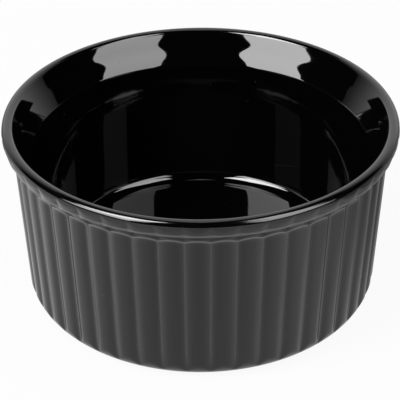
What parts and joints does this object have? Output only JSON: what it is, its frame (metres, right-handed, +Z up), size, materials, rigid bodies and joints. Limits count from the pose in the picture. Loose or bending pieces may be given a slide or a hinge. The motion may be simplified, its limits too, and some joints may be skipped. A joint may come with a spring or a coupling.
{
  "type": "ramekin",
  "caption": "Round fluted ramekin with straight ribbed walls, a rounded base and a flared, overhanging lip, glazed glossy black over a clay body with a bare foot ring.",
  "frame": {"origin": "middle of the foot ring, on the surface that the dish stands on", "axes": "+Z up along the dish's axis; -Y towards the camera of the picture, +X to its right"},
  "size_m": [0.114, 0.114, 0.056],
  "materials": {
    "fired_clay": "bare fired stoneware, matt and slightly gritty, only open on the foot ring",
    "inside_glaze": "glossy black glaze, poured inside and up to the top of the lip",
    "outside_glaze": "glossy black glaze, pooled in the grooves of the flutes, wiped off the foot ring"
  },
  "bodies": {
    "root": {"clay_body": "fired_clay", "inside_glaze": "inside_glaze", "outside_glaze": "outside_glaze", "underside_glaze": "outside_glaze"}
  },
  "joints": []
}
